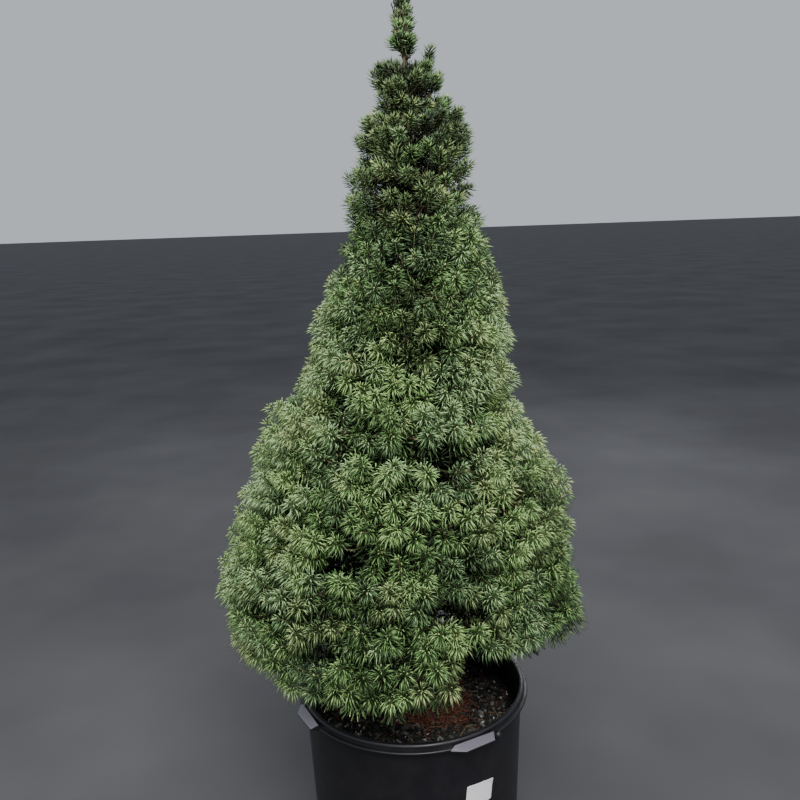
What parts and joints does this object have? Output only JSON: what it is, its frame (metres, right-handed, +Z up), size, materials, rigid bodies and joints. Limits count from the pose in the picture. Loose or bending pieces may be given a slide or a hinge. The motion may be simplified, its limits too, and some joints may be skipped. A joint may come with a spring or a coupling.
{
  "type": "potted alberta spruce",
  "caption": "Dense cone-shaped dwarf conifer with a narrow leader, standing in a round black plastic nursery pot with lifting grips and a blank label.",
  "frame": {"origin": "middle of the pot's flat underside, where it stands on the ground", "axes": "+Z up along the trunk, -Y towards the viewer, +X to the viewer's right"},
  "size_m": [0.5726, 0.5553, 1.3],
  "materials": {
    "needles": "fresh green needles, satin",
    "bark": "rough brown bark",
    "pot": "black moulded plastic, slightly glossy, scuffed",
    "soil": "damp bark compost",
    "label": "blank white coated paper"
  },
  "bodies": {
    "root": {"bough_lower_1": "bark", "bough_lower_2": "bark", "bough_lower_3": "bark", "bough_lower_4": "bark", "bough_lower_5": "bark", "bough_lower_6": "bark", "bough_middle_1": "bark", "bough_middle_2": "bark", "bough_middle_3": "bark", "bough_middle_4": "bark", "bough_middle_5": "bark", "bough_middle_6": "bark", "bough_skirt_1": "bark", "bough_skirt_3": "bark", "bough_skirt_4": "bark", "bough_skirt_5": "bark", "bough_skirt_6": "bark", "foliage_crest_1": "needles", "foliage_crest_2": "needles", "foliage_high_1": "needles", "foliage_high_2": "needles", "foliage_high_3": "needles", "foliage_leader": "needles", "foliage_lower_1": "needles", "foliage_lower_2": "needles", "foliage_lower_3": "needles", "foliage_lower_4": "needles", "foliage_lower_5": "needles", "foliage_lower_6": "needles", "foliage_middle_1": "needles", "foliage_middle_2": "needles", "foliage_middle_3": "needles", "foliage_middle_4": "needles", "foliage_middle_5": "needles", "foliage_middle_6": "needles", "foliage_shoulder_1": "needles", "foliage_shoulder_2": "needles", "foliage_shoulder_3": "needles", "foliage_shoulder_4": "needles", "foliage_shoulder_5": "needles", "foliage_skirt_1": "needles", "foliage_skirt_3": "needles", "foliage_skirt_4": "needles", "foliage_skirt_5": "needles", "foliage_skirt_6": "needles", "foliage_top_1": "needles", "foliage_top_2": "needles", "foliage_upper_1": "needles", "foliage_upper_2": "needles", "foliage_upper_3": "needles", "foliage_upper_4": "needles", "label": "label", "pot": "pot", "soil": "soil", "trunk": "bark"}
  },
  "joints": []
}
